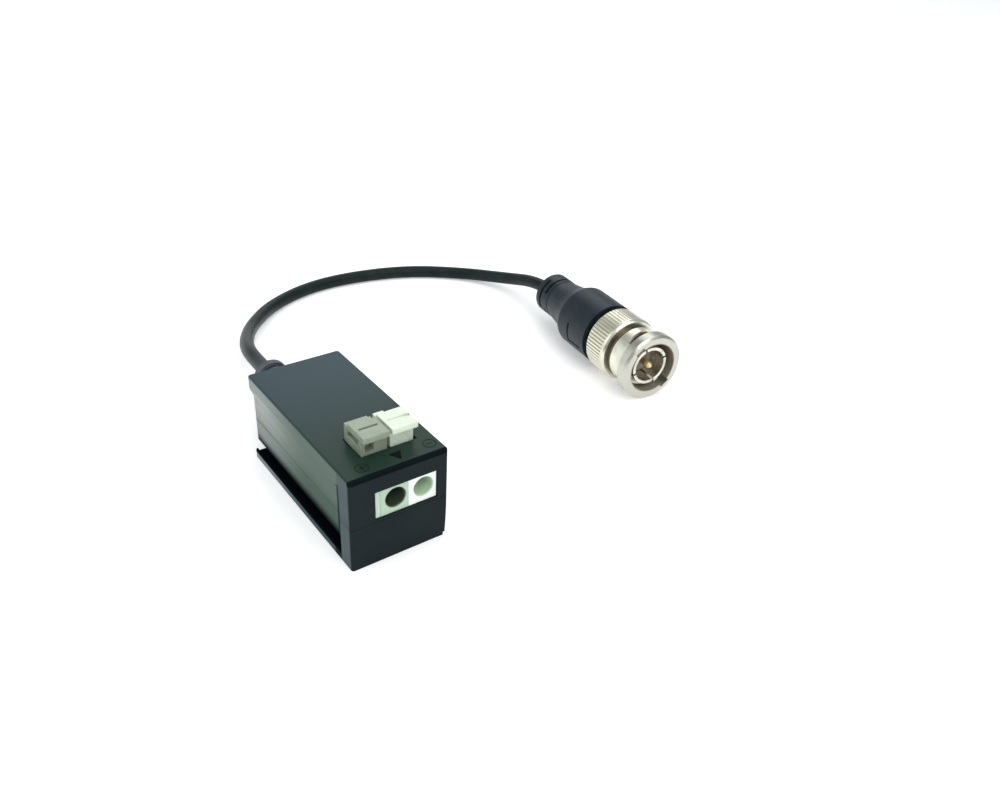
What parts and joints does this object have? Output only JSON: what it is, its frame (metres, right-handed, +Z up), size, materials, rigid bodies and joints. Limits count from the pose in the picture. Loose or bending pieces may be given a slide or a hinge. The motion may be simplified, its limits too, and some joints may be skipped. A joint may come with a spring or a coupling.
{
  "type": "cctv video balun",
  "caption": "Small black housing with a push-in wire terminal and press levers, and a short coaxial lead that ends in a bayonet video plug.",
  "frame": {"origin": "bottom centre of the housing, where it stands on the floor", "axes": "+Z up, -Y the terminal's face, +Y the side the lead leaves, -X the side with the joining rail"},
  "size_m": [0.0889, 0.0986, 0.0214],
  "materials": {
    "housing_plastic": "satin moulded",
    "board_laminate": "solder resist",
    "pole_green": "translucent moulded",
    "pole_white": "moulded",
    "end_plate_grey": "moulded",
    "lever_grey": "moulded",
    "lever_white": "moulded",
    "contact_brass": "tinned",
    "spring_steel": "rolled strip",
    "ferrite": "sintered",
    "winding_wire": "enamelled",
    "component_black": "moulded",
    "chip_ceramic": "sintered",
    "relief_rubber": "matt",
    "lead_jacket": "satin extruded",
    "nickel_plate": "bright nickel",
    "nickel_contact": "bright nickel",
    "dielectric": "moulded",
    "gilded_brass": "gilded",
    "gasket_red": "moulded",
    "boot_plastic": "satin moulded"
  },
  "bodies": {
    "housing": {"base_shell": "housing_plastic", "top_cover": "housing_plastic", "circuit_board": "board_laminate", "pole_body_left": "pole_green", "pole_body_right": "pole_white", "terminal_end_plate": "end_plate_grey", "contact_bar_left": "contact_brass", "contact_bar_right": "contact_brass", "clamp_spring_left": "spring_steel", "clamp_spring_right": "spring_steel", "balun_core": "ferrite", "balun_winding": "winding_wire", "surge_suppressor": "component_black", "chip_capacitors": "chip_ceramic", "strain_relief": "relief_rubber", "cable_tail": "lead_jacket", "plug_body": "nickel_plate", "outer_contact": "nickel_contact", "insulator": "dielectric", "centre_pin": "gilded_brass", "gasket": "gasket_red", "spring_washer": "spring_steel", "retaining_ring": "spring_steel", "crimp_ferrule": "nickel_contact", "plug_boot": "boot_plastic", "plug_cable_end": "lead_jacket", "pigtail_cable": "lead_jacket"},
    "lever_left": {"release_lever_left": "lever_grey"},
    "lever_right": {"release_lever_right": "lever_white"},
    "thrust_ring": {"thrust_washer": "spring_steel"},
    "nut": {"coupling_nut": "nickel_plate"}
  },
  "joints": [
    {"name": "lever_left_press", "type": "slide", "parent": "housing", "child": "lever_left", "axis": [0, 0, -1], "range_m": [0, 0.0014], "stiffness_N_per_m": 1500},
    {"name": "lever_right_press", "type": "slide", "parent": "housing", "child": "lever_right", "axis": [0, 0, -1], "range_m": [0, 0.0014], "stiffness_N_per_m": 1500},
    {"name": "nut_play", "type": "slide", "parent": "housing", "child": "thrust_ring", "axis": [-0.1219, -0.9925, 0], "range_m": [0, 0.0005], "stiffness_N_per_m": 3000},
    {"name": "nut_turn", "type": "hinge", "parent": "thrust_ring", "child": "nut", "pos_m": [0.07049, 0.00196, 0.0074], "axis": [0.1219, 0.9925, 0], "continuous": true}
  ]
}
